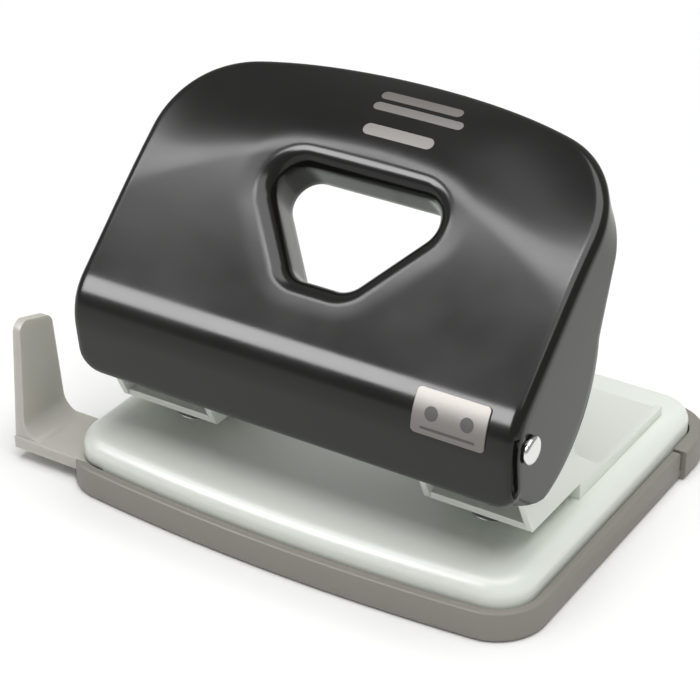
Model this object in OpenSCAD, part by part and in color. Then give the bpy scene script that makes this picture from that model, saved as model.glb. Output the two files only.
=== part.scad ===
// Two-hole office punch with a sheet-metal lever, a sliding paper guide and a
// pull-off chip tray.  The origin is the centre of the tray's underside, +Z is up,
// +X is to the right and +Y points away from the edge where paper goes in.

/* [Base] */
// Width of the chip tray
base_w = 124; // [112:1:150]
// Depth of the chip tray without the bow of its front edge
base_d = 97; // [90:1:120]
// Plan radius of the tray's corners
base_corner = 11; // [8:0.5:14]
// How far the middle of the front edge bows forward
front_bow = 4; // [1:0.5:6]
// Height of the tray's rim
tray_h = 7.6; // [7:0.2:9]
// Thickness of the tray's wall
tray_wall = 2.3; // [1.6:0.1:2.6]
// Thickness of the tray's floor
tray_floor = 1.5; // [1.2:0.1:1.8]
// Height of the surface that the paper lies on
plate_top = 13.6; // [12.6:0.2:16]
// Thickness of the base plate's sheet steel
plate_t = 1.5; // [1:0.1:2]
// Radius of the base plate's shoulder
plate_shoulder = 4; // [2:0.5:5]

/* [Punching] */
// Distance between the centres of the two holes
hole_spacing = 80; // [70:1:84]
// Diameter of a punched hole
hole_d = 5.5; // [5:0.1:6.5]
// Distance from the edge of the paper to the middle of a hole
hole_margin = 12; // [10:0.5:14]
// Height of the gap that the paper slides into
throat = 4.4; // [4.2:0.1:5.4]
// Depth of paper that goes in before it meets the stop
paper_depth = 22.5; // [20:0.5:26]
// Y of the stop that the paper's edge meets
stop_y = -8.5; // [-12:0.5:-6]

/* [Lever] */
// Width of the lever
lever_w = 114; // [108:1:140]
// Thickness of the lever's sheet steel
lever_t = 1.2; // [0.8:0.1:1.6]
// Distance from the axle back to the punch pins
lever_arm = 19; // [17:0.5:22]
// Height of the axle above the paper surface
axle_rise = 30.9; // [28:0.5:36]
// Diameter of the axle
axle_d = 5; // [4:0.1:6]
// Height of the straight lower part of the lever's front
front_rise = 12.9; // [9:0.1:17]
// Length of the straight slope that the hand pushes
slope_len = 42.3; // [38:0.1:52]
// Angle of that slope above the horizontal, in degrees
slope_angle = 42.6; // [38:0.1:46]
// Radius of the bend between the front and the slope
knee_r = 14; // [10:0.5:18]
// Radius of the crown above the slope
crown_r = 38; // [30:1:46]
// Depth of the collar that is turned in round the window
window_collar = 13; // [4:0.5:14]

/* [Paper guide] */
// Width of the guide's sliding bar
guide_w = 17; // [12:0.5:18]
// Thickness of that bar
guide_t = 3; // [2.4:0.1:3.4]
// How far the guide stands out from the base as shown
guide_out = 15; // [8:1:30]
// Height of the guide's fin above the table
fin_top = 36; // [28:1:44]

/* [Hidden] */
$fn = 48;

// Clearances between pieces that move, and between pieces that only sit together
running_gap = 0.06;
loose_gap = 0.4;
contact_gap = 0.3;

// Where the punch pins stand
pin_x = hole_spacing / 2;
pin_y = stop_y - hole_margin;

// Base: the plate sits inside the tray's wall
plate_inset = tray_wall + loose_gap;
skirt_z = tray_floor + 1.2;
plate_under = plate_top - plate_t;
half_w = base_w / 2;
half_d = base_d / 2;
tray_gap = 1.8;
foot_d = 11;
foot_stem_d = 7;
foot_pad_h = 2.2;
foot_x = half_w - 11;
foot_front_y = pin_y + 8.5;
foot_back_y = half_d - 12;
ear_proud = 1.1;
ear_notch = 0.9;

// Punching mechanism
lip_z = plate_top + throat;
lip_front = stop_y - paper_depth;
frame_t = 1.6;
die_d = 12;
die_h = 3;
pin_reach = 2.2;
stroke = throat + pin_reach;
guide_plate_z = lip_z + 10;
spring_len = 14;
spring_wire = 0.9;
spring_turns = 6;
cap_d = 9;
cap_h = 3.2;
clip_h = 0.8;
pin_bottom = lip_z + 0.2;
spring_z = guide_plate_z + frame_t;
cap_z = spring_z + spring_len;
pin_top = cap_z + cap_h - 1;
cap_top = cap_z + cap_h;

// Lever and axle
axle_y = pin_y - lever_arm;
axle_z = plate_top + axle_rise;
half_lever = lever_w / 2;
washer_t = 0.7;
side_gap = washer_t + 0.6;
frame_out = half_lever - lever_t - side_gap;
frame_in = pin_x - 12.3;
ear_r = 4;
axle_cap_d = 6.4;
axle_cap_t = 1.4;
front_angle = 97;
front_y = axle_y - 4.5;
front_z = axle_z - 14.5;
crown_end = 2;
knee_len = knee_r * (front_angle - slope_angle) * PI / 180;
crown_len = crown_r * (slope_angle - crown_end) * PI / 180;
slope_start = front_rise + knee_len;
crown_start = slope_start + slope_len;
face_len = crown_start + crown_len;
low_corner_r = 6;
top_arch_r = 120;
top_corner_r = 26;
window_mid = slope_start + 0.56 * slope_len;
hem = 3;
roll = 7;
flange_r = 29;
flange_y = axle_y + 1.5;
flange_z = axle_z + 11.5;
face_points = 72;

// Guide
bar_back = pin_y - 8;
bar_front = bar_back - guide_w;
bar_z = tray_floor + 1.6;
bar_inner_x = 10;
bar_outer_x = -half_w - guide_out;
fin_t = 2.6;
channel_t = 1;
channel_x0 = -pin_x + die_d / 2 + 2;
channel_x1 = bar_inner_x + 6;

// ---------------------------------------------------------------- helpers

// Points of an arc, centre c, radius r, from angle a to angle b
function arc(c, r, a, b, n = 8) =
    [for (i = [0:n]) c + r * [cos(a + (b - a) * i / n), sin(a + (b - a) * i / n)]];

// How far forward the front edge is bowed at x
function bow(x) = front_bow * (1 - pow(x / half_w, 2));

// The base's plan outline, moved inward by inset
function base_outline(inset) =
    let (hw = half_w - inset, hd = half_d - inset, r = base_corner - min(inset, base_corner - 2))
    let (square_plan = concat(
        [for (i = [1:11]) [-hw + r + (2 * hw - 2 * r) * i / 12, -hd]],
        arc([hw - r, -hd + r], r, -90, 0),
        arc([hw - r, hd - r], r, 0, 90),
        arc([-hw + r, hd - r], r, 90, 180),
        arc([-hw + r, -hd + r], r, 180, 270)))
    [for (p = square_plan) [p.x, p.y < 0 ? p.y - bow(p.x) * min(1, -p.y / (half_d - r)) : p.y]];

// A closed skin over rings of equal point count, either capped or joined end to end
module skin(rings, ring_closed = false) {
    n = len(rings[0]);
    m = len(rings);
    last = ring_closed ? m - 1 : m - 2;
    sides = [for (k = [0:last], j = [0:n - 1])
        let (a = k * n, b = ((k + 1) % m) * n, i = (j + 1) % n)
        each [[a + j, b + j, b + i], [a + j, b + i, a + i]]];
    caps = ring_closed ? [] : [[for (j = [0:n - 1]) j], [for (j = [n - 1:-1:0]) (m - 1) * n + j]];
    polyhedron(points = [for (r = rings) each r], faces = concat(sides, caps), convexity = 8);
}

// A stack of base outlines, each given as [inset, z]
module outline_stack(steps)
    skin([for (s = steps) [for (p = base_outline(s[0])) [p.x, p.y, s[1]]]]);

module both_sides() {
    for (side = [-1, 1]) scale_x(side) children();
}

module scale_x(side) {
    if (side < 0) mirror([1, 0, 0]) children();
    else children();
}

// A side view in Y and Z, made thickness thick from x towards +X
module side_plate(x, thickness)
    translate([x, 0, 0]) rotate([90, 0, 90]) linear_extrude(thickness) children();

module rod_x(x0, x1, d)
    rotate([0, 90, 0]) translate([0, 0, x0]) cylinder(d = d, h = x1 - x0);

// ---------------------------------------------------------------- lever surface

// Heading of the lever's side profile at distance s along it
function heading(s) =
    s < front_rise ? front_angle
    : s < slope_start ? front_angle - (s - front_rise) / knee_r * 180 / PI
    : s < crown_start ? slope_angle
    : slope_angle - (s - crown_start) / crown_r * 180 / PI;

function ahead(angle) = [cos(angle), sin(angle)];
function inward(angle) = [sin(angle), -cos(angle)];

// Start of each stretch of the profile
knee_p = [front_y, front_z] + front_rise * ahead(front_angle);
slope_p = knee_p + knee_r * (inward(front_angle) - inward(slope_angle));
crown_p = slope_p + slope_len * ahead(slope_angle);

// Point [y, z] of the outer profile at distance s
function profile(s) =
    s < front_rise ? [front_y, front_z] + s * ahead(front_angle)
    : s < slope_start ? knee_p + knee_r * (inward(front_angle) - inward(heading(s)))
    : s < crown_start ? slope_p + (s - slope_start) * ahead(slope_angle)
    : crown_p + crown_r * (inward(slope_angle) - inward(heading(s)));

// Place on the lever: x across, s along the profile, depth below the outer face
function on_lever(x, s, depth) =
    let (p = profile(s) + depth * inward(heading(s))) [x, p[0], p[1]];

// Distance outside a rounded box with half sizes b and corner radius r
function box_distance(p, b, r) =
    let (q = [abs(p.x) - b.x + r, abs(p.y) - b.y + r])
    norm([max(q.x, 0), max(q.y, 0)]) + min(max(q.x, q.y), 0) - r;

arch_mid = face_len - top_arch_r;
top_corner_s = arch_mid + sqrt(pow(top_arch_r - top_corner_r, 2) - pow(half_lever - top_corner_r, 2));
top_corner = [half_lever - top_corner_r, top_corner_s];
top_corner_angle = atan2(top_corner.y - arch_mid, top_corner.x);

// Distance outside the lever's face, in x and s
function face_distance(p) =
    let (q = [abs(p.x), p.y], turn = atan2(q.y - arch_mid, q.x))
    q.y < top_corner.y
    ? box_distance([q.x, q.y - top_corner.y], [half_lever, top_corner.y], low_corner_r)
    : turn > top_corner_angle ? norm([q.x, q.y - arch_mid]) - top_arch_r
    : norm([max(q.x - top_corner.x, 0), q.y - top_corner.y]) - top_corner_r;

// The window tapers downward; these are the middles of its round corners
window_r = 6;
window_top = [14.4, window_mid + 9.1];
window_low = [4.2, window_mid - 4.3];
window_edge = window_top - window_low;
window_out = [window_edge.y, -window_edge.x] / norm(window_edge);

// Distance outside the window, in x and s
function window_distance(p) =
    let (q = [abs(p.x), p.y], low = q - window_low, top = q - window_top)
    let (along = low * window_edge / (window_edge * window_edge), side = low * window_out)
    side <= 0 && low.y >= 0 && top.y <= 0 ? max(side, top.y, -low.y) - window_r
    : top.x <= 0 && top.y > 0 ? top.y - window_r
    : low.x <= 0 && low.y < 0 ? -low.y - window_r
    : along > 1 ? norm(top) - window_r
    : along < 0 ? norm(low) - window_r
    : side - window_r;

// Distance from the window's middle, along a direction, to where the lever's
// face (edge true) or window (edge false) has the given distance outside it
function reach(dir, level, edge, lo = 0, hi = 90, n = 22) =
    let (mid = (lo + hi) / 2, p = [0, window_mid] + mid * dir)
    n == 0 ? p
    : (edge ? face_distance(p) : window_distance(p)) < level
        ? reach(dir, level, edge, mid, hi, n - 1)
        : reach(dir, level, edge, lo, mid, n - 1);

directions = [for (j = [0:face_points - 1]) ahead(360 * j / face_points)];

// Back edge of the side flange, [y, z], for the point s of the front profile
flange_bend = 45;
flange_end = crown_start + 8;
flange_top_p = profile(flange_end) + roll * inward(heading(flange_end));
function flange_back(s) =
    s < flange_bend
    ? [flange_y, flange_z] + flange_r * ahead(-94 + 94 * pow(max(s, 0) / flange_bend, 0.8))
    : s < flange_end
    ? let (f = (s - flange_bend) / (flange_end - flange_bend))
      (1 - f) * [flange_y + flange_r, flange_z] + f * flange_top_p
    : profile(s) + roll * inward(heading(s));

// Free edge of the flange below point p of the face's edge, moved in by inset
function flange_edge(p, inset) =
    let (s = p.y, side = min(1, max(0, (abs(p.x) - half_lever + low_corner_r) / low_corner_r)))
    let (turned = profile(s) + hem * inward(heading(s)))
    let (w = s > low_corner_r ? 1 : side * side)
    let (q = (1 - w) * turned + w * flange_back(s))
    [p.x, q[0], q[1]] + inward_shift(p, inset);

// Shift that moves an edge point towards the middle of the lever
function inward_shift(p, inset) =
    let (e = 0.05)
    let (gx = (face_distance(p + [e, 0]) - face_distance(p - [e, 0])) / (2 * e))
    let (gs = (face_distance(p + [0, e]) - face_distance(p - [0, e])) / (2 * e))
    let (t = ahead(heading(p.y)))
    -inset * [gx, gs * t[0], gs * t[1]];

function face_ring(level, depth) =
    [for (d = directions) let (p = reach(d, -level, true)) on_lever(p.x, p.y, depth)];
function window_ring(level, depth) =
    [for (d = directions) let (p = reach(d, level, false)) on_lever(p.x, p.y, depth)];
function between_ring(f, level, depth) =
    [for (d = directions)
        let (a = reach(d, 3.6, false), b = reach(d, -level, true), p = a + f * (b - a))
        on_lever(p.x, p.y, depth)];

// ---------------------------------------------------------------- base

module tray_outer() {
    outline_stack([[1.2, 0], [0, 1.2], [0, tray_h - 0.5], [0.5, tray_h]]);
    // Pull ear on the back right corner
    intersection() {
        outline_stack([[-ear_proud + 1.2, 0], [-ear_proud, 1.2],
                       [-ear_proud, tray_h - 0.3], [-ear_proud + 0.5, tray_h + 0.2]]);
        translate([half_w - base_corner - 1, half_d - base_corner - 7, 0])
            cube([base_corner + 4, base_corner + 10, tray_h + 1]);
    }
}

module chip_tray() {
    color("#8f8c86")
    difference() {
        tray_outer();
        outline_stack([[tray_wall + 1, tray_floor], [tray_wall, tray_floor + 1], [tray_wall, tray_h + 1]]);
        // Way out for the guide's bar
        translate([-half_w - 3, bar_front - tray_gap, tray_floor])
            cube([15, guide_w + 2 * tray_gap, tray_h]);
        // Notch in front of the pull ear
        translate([half_w - tray_wall - 0.1, half_d - base_corner - 7 - ear_notch, skirt_z])
            cube([6, ear_notch, tray_h]);
        // Holes round the feet
        for (p = foot_places()) translate([p.x, p.y, -1])
            cylinder(d = foot_d + 2 * tray_gap, h = tray_floor + 3);
    }
}

function foot_places() =
    [for (x = [-foot_x, foot_x], y = [foot_front_y, foot_back_y]) [x, y]];

module base_plate() {
    shoulder = plate_shoulder;
    outer = concat([[plate_inset, skirt_z]],
        [for (a = [0:18:90]) [plate_inset + shoulder * (1 - cos(a)),
                              plate_top - shoulder * (1 - sin(a))]]);
    inner = concat([[plate_inset + plate_t, skirt_z - 1]],
        [for (a = [0:30:90]) [plate_inset + plate_t + (shoulder - 1) * (1 - cos(a)),
                              plate_under - (shoulder - 1) * (1 - sin(a))]]);
    color("#e4e9e3")
    difference() {
        outline_stack(outer);
        outline_stack(inner);
        for (x = [-pin_x, pin_x]) translate([x, pin_y, 0])
            cylinder(d = die_d, h = plate_top + 1);
        for (p = frame_rivet_places()) translate([p.x, p.y, 0])
            cylinder(d = rivet_d, h = plate_top + 1);
        for (p = foot_places()) translate([p.x, p.y, 0])
            cylinder(d = foot_stem_d - 2, h = plate_top - 0.8);
        // Way out for the guide's bar
        translate([-half_w - 1, bar_front - tray_gap, 0])
            cube([15, guide_w + 2 * tray_gap, bar_z + guide_t + 1.2]);
    }
}

module rubber_feet() {
    color("#2b2b2b")
    for (p = foot_places()) translate([p.x, p.y, 0]) rotate_extrude()
        polygon([[0, 0], [foot_d / 2 - 0.6, 0], [foot_d / 2, 0.6], [foot_d / 2, foot_pad_h],
                 [foot_stem_d / 2, foot_pad_h], [foot_stem_d / 2, plate_under],
                 [foot_stem_d / 2 - 1, plate_under], [foot_stem_d / 2 - 1, plate_top - 0.8],
                 [0, plate_top - 0.8]]);
}

// ---------------------------------------------------------------- punch heads

rivet_d = 3.4;
frame_foot_back = 34;
function frame_rivet_places() =
    [for (x = [-1, 1], y = [4, frame_foot_back - 6]) [x * (frame_in + 7), y]];

module frame_side_view() {
    hull() {
        translate([axle_y, axle_z]) circle(ear_r);
        translate([lip_front, lip_z]) square([1, 4]);
        translate([pin_y + 7, guide_plate_z]) square([1, frame_t]);
        translate([stop_y + 8, lip_z]) square([1, 1]);
    }
    translate([stop_y, plate_top]) square([9, throat + 1]);
    translate([stop_y + 8, plate_top]) polygon([[0, 0], [frame_foot_back - stop_y - 8, 0],
        [frame_foot_back - stop_y - 8, 2.4], [4, 3.4], [0, throat + 1]]);
}

module punch_frame() {
    bar_w = frame_out - frame_in;
    difference() {
        union() {
            for (x = [frame_in, frame_out - frame_t]) side_plate(x, frame_t) frame_side_view();
            // Lip over the paper, with its edge turned up a little
            translate([frame_in, lip_front, lip_z]) cube([bar_w, stop_y + 8 - lip_front, frame_t]);
            // Foot on the base plate and the wall that the paper meets
            translate([frame_in, stop_y, plate_top]) cube([bar_w, frame_foot_back - stop_y, frame_t]);
            translate([frame_in, stop_y, plate_top]) cube([bar_w, frame_t, throat + 1]);
            // Upper guide for the pin
            translate([frame_in, pin_y - 7, guide_plate_z]) cube([bar_w, 14, frame_t]);
        }
        translate([pin_x, pin_y, lip_z - 1]) cylinder(d = hole_d + 2 * running_gap, h = 14);
        translate([0, axle_y, axle_z]) rod_x(frame_in - 1, frame_out + 1, axle_d);
        for (p = frame_rivet_places()) if (p.x > 0) translate([p.x, p.y, 0])
            cylinder(d = rivet_d, h = plate_top + 4);
    }
}

module punch_frame_left() {
    color("#dfe4df") mirror([1, 0, 0]) punch_frame();
}

module punch_frame_right() {
    color("#dfe4df") punch_frame();
}

module rivet(z0, z1, head_d, head_h) {
    translate([0, 0, z0]) cylinder(d = rivet_d, h = z1 - z0);
    translate([0, 0, z1]) rotate_extrude()
        polygon([[0, 0], [head_d / 2, 0], [head_d / 2 - 0.3, head_h * 0.6],
                 [head_d / 4, head_h], [0, head_h]]);
    translate([0, 0, z0]) mirror([0, 0, 1]) cylinder(d = head_d, h = 0.8);
}

module frame_rivets() {
    color("#c9cdcb")
    for (p = frame_rivet_places()) translate([p.x, p.y, 0])
        rivet(plate_under, plate_top + frame_t, 6, 1.1);
}

module die(x) {
    color("#9a9c9e")
    translate([x, pin_y, plate_top - die_h]) difference() {
        union() {
            cylinder(d = die_d, h = die_h);
            translate([0, 0, -0.8]) cylinder(d = die_d + 2, h = 0.8 + die_h - plate_t);
        }
        translate([0, 0, -2]) cylinder(d = hole_d + 2 * running_gap, h = die_h + 4);
    }
}

module die_left() die(-pin_x);
module die_right() die(pin_x);

module axle() {
    color("#c4c6c8")
    translate([0, axle_y, axle_z]) rod_x(-half_lever - contact_gap, half_lever + contact_gap, axle_d);
}

module axle_caps() {
    color("#e6e6e6")
    translate([0, axle_y, axle_z]) both_sides()
        translate([half_lever + contact_gap, 0, 0]) rotate([0, 90, 0]) rotate_extrude()
            polygon([[0, 0], [axle_cap_d / 2, 0], [axle_cap_d / 2, 0.5],
                     [axle_cap_d / 2 - 1, axle_cap_t - 0.2], [1.6, axle_cap_t], [0, axle_cap_t]]);
}

module axle_washers() {
    color("#d8d6cf")
    translate([0, axle_y, axle_z]) both_sides() difference() {
        rod_x(frame_out, frame_out + washer_t, 2 * ear_r - 0.6);
        rod_x(frame_out - 1, frame_out + 2, axle_d);
    }
}

module punch_pin(x) {
    color("#b9bcc0")
    translate([x, pin_y, 0]) difference() {
        translate([0, 0, pin_bottom]) cylinder(d = hole_d, h = pin_top - pin_bottom);
        // The cutting end is ground to a V
        translate([-hole_d, 0, pin_bottom]) rotate([90, 0, 90]) linear_extrude(2 * hole_d)
            polygon([[-hole_d, -2], [hole_d, -2], [hole_d / 2, -0.01], [0, 1.4], [-hole_d / 2, -0.01]]);
        translate([0, 0, clip_z]) clip_groove();
    }
}

clip_z = guide_plate_z - contact_gap - clip_h;
clip_groove_d = hole_d - 1.4;

module clip_groove() difference() {
    cylinder(d = hole_d + 1, h = clip_h);
    translate([0, 0, -1]) cylinder(d = clip_groove_d, h = clip_h + 2);
}

module punch_pin_left() punch_pin(-pin_x);
module punch_pin_right() punch_pin(pin_x);

module pin_cap(x) {
    color("#1f1f20")
    translate([x, pin_y, cap_z]) difference() {
        rotate_extrude() polygon([[0, 0], [cap_d / 2, 0], [cap_d / 2, cap_h - 1],
                                  [cap_d / 2 - 1, cap_h], [0, cap_h]]);
        translate([0, 0, -1]) cylinder(d = hole_d, h = cap_h);
    }
}

module pin_cap_left() pin_cap(-pin_x);
module pin_cap_right() pin_cap(pin_x);

module pin_clip(x) {
    color("#6f7276")
    translate([x, pin_y, clip_z]) difference() {
        cylinder(d = hole_d + 3.6, h = clip_h);
        translate([0, 0, -1]) cylinder(d = clip_groove_d, h = clip_h + 2);
        translate([-1.4, 0, -1]) cube([2.8, hole_d, clip_h + 2]);
    }
}

module pin_clip_left() pin_clip(-pin_x);
module pin_clip_right() pin_clip(pin_x);

module return_spring(x) {
    coil_r = hole_d / 2 + 0.5 + spring_wire / 2;
    rise = spring_len - spring_wire;
    steps = spring_turns * 16;
    rings = [for (i = [0:steps])
        let (a = 360 * spring_turns * i / steps, z = spring_z + spring_wire / 2 + rise * i / steps)
        [for (b = [0:60:300])
            [(coil_r + spring_wire / 2 * cos(b)) * cos(a),
             (coil_r + spring_wire / 2 * cos(b)) * sin(a), z + spring_wire / 2 * sin(b)]]];
    color("#a7aaae") translate([x, pin_y, 0]) skin(rings);
}

module return_spring_left() return_spring(-pin_x);
module return_spring_right() return_spring(pin_x);

// ---------------------------------------------------------------- lever

module lever_shell() {
    t = lever_t;
    outer = concat(
        [window_ring(0, window_collar), window_ring(0.2, 3), window_ring(1.2, 1), window_ring(3.6, 0)],
        [for (f = [0.17:0.166:0.9]) between_ring(f, 3, 0)],
        [face_ring(3, 0), face_ring(1.1, 0.5), face_ring(0.1, 1.9)]);
    inner = concat(
        [face_ring(t + 0.2, 2.1), face_ring(t + 1.2, t + 0.5), face_ring(t + 2.6, t)],
        [for (f = [0.83:-0.166:0.1]) between_ring(f, 3, t)],
        [window_ring(3.8, t), window_ring(2.2, t + 0.7), window_ring(t + 0.2, 3), window_ring(t, window_collar)]);
    edge = [for (d = directions) flange_edge(reach(d, 0, true), 0)];
    edge_in = [for (d = directions) flange_edge(reach(d, 0, true), t)];
    color("#1d1c1b")
    difference() {
        skin(concat(outer, [edge, edge_in], inner), ring_closed = true);
        translate([0, axle_y, axle_z])
            rod_x(-half_lever - 5, half_lever + 5, axle_d + 2 * running_gap);
    }
}

// Block under the slope whose nose pushes a pin's cap down
pusher_w = 9;
nose_r = 4;
module pusher(x) {
    nose = [pin_y, cap_top + contact_gap + nose_r];
    s0 = crown_start - 30;
    s1 = crown_start - 8;
    color("#2a2a2c")
    side_plate(x - pusher_w / 2, pusher_w) hull() {
        translate(nose) circle(nose_r);
        polygon([profile(s0) + lever_t * inward(slope_angle), profile(s1) + lever_t * inward(slope_angle),
                 profile(s1) + 5 * inward(slope_angle), profile(s0) + 5 * inward(slope_angle)]);
    }
}

module pusher_left() pusher(-pin_x);
module pusher_right() pusher(pin_x);

// Blank name plate, bent to the lever's front
label_w = 17.5;
label_t = 0.4;
label_right = 50;
label_s = [14.5, 24.5];
module label_plate() {
    steps = [label_s[0]:1:label_s[1]];
    color("#b9b7b4")
    side_plate(label_right - label_w, label_w)
        polygon(concat([for (s = steps) profile(s) - label_t * inward(heading(s))],
                       [for (s = [label_s[1]:-1:label_s[0]]) profile(s)]));
}

// ---------------------------------------------------------------- paper guide

module paper_guide() {
    // Side view of the fin: wide at its foot, narrow at its top
    fin_front = bar_front + 0.5;
    fin_back = bar_back - 0.5;
    color("#c9c8c2") {
        translate([bar_outer_x, bar_front, bar_z])
            cube([bar_inner_x - bar_outer_x, guide_w, guide_t]);
        side_plate(bar_outer_x, fin_t) hull() {
            translate([fin_front, bar_z]) square([fin_back - fin_front, 1]);
            translate([fin_front + 5, fin_top - 3]) circle(3);
            translate([fin_back - 5, fin_top - 5]) circle(3);
        }
        // Web from the bar up to the fin
        translate([0, fin_back, 0]) rotate([90, 0, 0]) linear_extrude(fin_back - fin_front)
            polygon(concat([[bar_outer_x + fin_t, bar_z + guide_t]],
                arc([bar_outer_x + fin_t + 5, bar_z + guide_t + 5], 5, 270, 180)));
    }
}

module guide_channel() {
    wall_gap = 0.25;
    y0 = bar_front - wall_gap - channel_t;
    w = guide_w + 2 * wall_gap + 2 * channel_t;
    floor_z = bar_z - wall_gap;
    color("#3c3d3f")
    translate([channel_x0, y0, 0]) {
        translate([0, 0, floor_z - channel_t]) cube([channel_x1 - channel_x0, w, channel_t]);
        // Low front wall, and a back wall that is fixed to the base plate
        translate([0, 0, floor_z - channel_t])
            cube([channel_x1 - channel_x0, channel_t, guide_t + 2 * channel_t]);
        translate([0, w - channel_t, floor_z - channel_t])
            cube([channel_x1 - channel_x0, channel_t, plate_under - floor_z + channel_t]);
    }
}

module guide_leaf_spring() {
    x0 = channel_x0 + 14;
    x1 = channel_x1 - 14;
    low = bar_z + guide_t + 0.2;
    mid = (x0 + x1) / 2;
    leaf_t = 0.4;
    curve = [for (f = [0:0.05:1]) [x0 + f * (x1 - x0),
        low + (plate_under - leaf_t - low) * pow(cos(180 * f), 2)]];
    color("#a7aaae")
    translate([0, bar_front + guide_w / 2 + 3, 0]) rotate([90, 0, 0]) linear_extrude(6)
        polygon(concat(curve, [for (i = [20:-1:0]) curve[i] + [0, leaf_t]]));
}

chip_tray();
base_plate();
rubber_feet();
punch_frame_left();
punch_frame_right();
frame_rivets();
die_left();
die_right();
axle();
axle_caps();
axle_washers();
punch_pin_left();
punch_pin_right();
pin_cap_left();
pin_cap_right();
pin_clip_left();
pin_clip_right();
return_spring_left();
return_spring_right();
lever_shell();
pusher_left();
pusher_right();
label_plate();
paper_guide();
guide_channel();
guide_leaf_spring();
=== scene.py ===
"""Looks of the two-hole office punch, built around the packed CAD frame.

Every length is in metres.  Shapes that follow the CAD take their places from the
frame's own boxes, so a changed model.glb moves them too.
"""

import math

import bmesh
import bpy
import numpy as np
from bpy.props import FloatProperty, FloatVectorProperty, PointerProperty
from mathutils import Matrix, Vector


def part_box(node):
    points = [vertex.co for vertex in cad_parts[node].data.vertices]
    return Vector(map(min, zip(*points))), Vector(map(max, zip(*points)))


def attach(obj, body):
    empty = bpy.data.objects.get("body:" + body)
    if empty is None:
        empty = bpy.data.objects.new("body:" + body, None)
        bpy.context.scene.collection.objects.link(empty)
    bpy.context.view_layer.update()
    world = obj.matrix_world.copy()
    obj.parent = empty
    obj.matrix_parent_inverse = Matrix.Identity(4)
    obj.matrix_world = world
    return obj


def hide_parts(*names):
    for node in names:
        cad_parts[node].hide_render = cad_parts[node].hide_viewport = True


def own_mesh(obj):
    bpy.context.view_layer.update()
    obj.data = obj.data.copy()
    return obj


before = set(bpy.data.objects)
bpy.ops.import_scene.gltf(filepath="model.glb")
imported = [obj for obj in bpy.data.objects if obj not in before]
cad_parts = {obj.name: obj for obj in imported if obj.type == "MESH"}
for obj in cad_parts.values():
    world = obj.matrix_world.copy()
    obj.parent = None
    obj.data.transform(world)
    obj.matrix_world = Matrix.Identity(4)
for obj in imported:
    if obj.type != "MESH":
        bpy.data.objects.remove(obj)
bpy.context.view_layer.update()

bl_info = {
    "name": "Hole punch",
    "version": (1, 0, 0),
    "blender": (4, 5, 0),
    "location": "View3D > Sidebar > Hole punch",
    "description": "Builds the pieces, finishes and studio of a two-hole office punch",
    "category": "Object",
}

MM = 0.001

# Boxes of the CAD pieces that sizes and places are taken from
TRAY_LOW, TRAY_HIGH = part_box("chip_tray")
PLATE_LOW, PLATE_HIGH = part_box("base_plate")
LEVER_LOW, LEVER_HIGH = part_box("lever_shell")
AXLE_LOW, AXLE_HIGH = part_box("axle")
FRAME_LOW, FRAME_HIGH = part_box("punch_frame_right")
PIN_LOW, PIN_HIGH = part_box("punch_pin_right")
SPRING_LOW, SPRING_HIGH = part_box("return_spring_right")
CAP_LOW, CAP_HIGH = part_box("pin_cap_right")
CLIP_LOW, CLIP_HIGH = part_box("pin_clip_right")
DIE_LOW, DIE_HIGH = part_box("die_right")
PUSHER_LOW, PUSHER_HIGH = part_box("pusher_right")
FEET_LOW, FEET_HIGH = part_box("rubber_feet")
RIVET_LOW, RIVET_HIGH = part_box("frame_rivets")
GUIDE_LOW, GUIDE_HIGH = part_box("paper_guide")
CHANNEL_LOW, CHANNEL_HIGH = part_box("guide_channel")
LEAF_LOW, LEAF_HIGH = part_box("guide_leaf_spring")
LABEL_LOW, LABEL_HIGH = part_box("label_plate")
CAPS_LOW, CAPS_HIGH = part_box("axle_caps")
WASHERS_LOW, WASHERS_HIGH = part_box("axle_washers")

AXLE_Y = (AXLE_LOW.y + AXLE_HIGH.y) / 2
AXLE_Z = (AXLE_LOW.z + AXLE_HIGH.z) / 2
PIN_X = (PIN_LOW.x + PIN_HIGH.x) / 2
PIN_Y = (PIN_LOW.y + PIN_HIGH.y) / 2
PLATE_TOP = PLATE_HIGH.z

FOOT_WIDTH = 11 * MM
FOOT_PLACES = [
    (x, y)
    for x in (FOOT_WIDTH / 2 - FEET_HIGH.x, FEET_HIGH.x - FOOT_WIDTH / 2)
    for y in (FEET_LOW.y + FOOT_WIDTH / 2, FEET_HIGH.y - FOOT_WIDTH / 2)
]


def linear(hex_colour):
    """A hex sRGB colour as linear red, green and blue."""
    channels = [int(hex_colour[i : i + 2], 16) / 255 for i in (1, 3, 5)]
    return tuple(
        c / 12.92 if c <= 0.04045 else ((c + 0.055) / 1.055) ** 2.4 for c in channels
    )


def length(name, description, default):
    return FloatProperty(
        name=name, description=description, default=default, unit="LENGTH", precision=5
    )


def angle(name, description, degrees):
    return FloatProperty(
        name=name, description=description, default=math.radians(degrees), subtype="ANGLE"
    )


def colour(name, description, hex_colour):
    return FloatVectorProperty(
        name=name,
        description=description,
        default=linear(hex_colour),
        subtype="COLOR",
        size=3,
        min=0,
        max=1,
    )


def amount(name, description, default):
    return FloatProperty(name=name, description=description, default=default)


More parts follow.
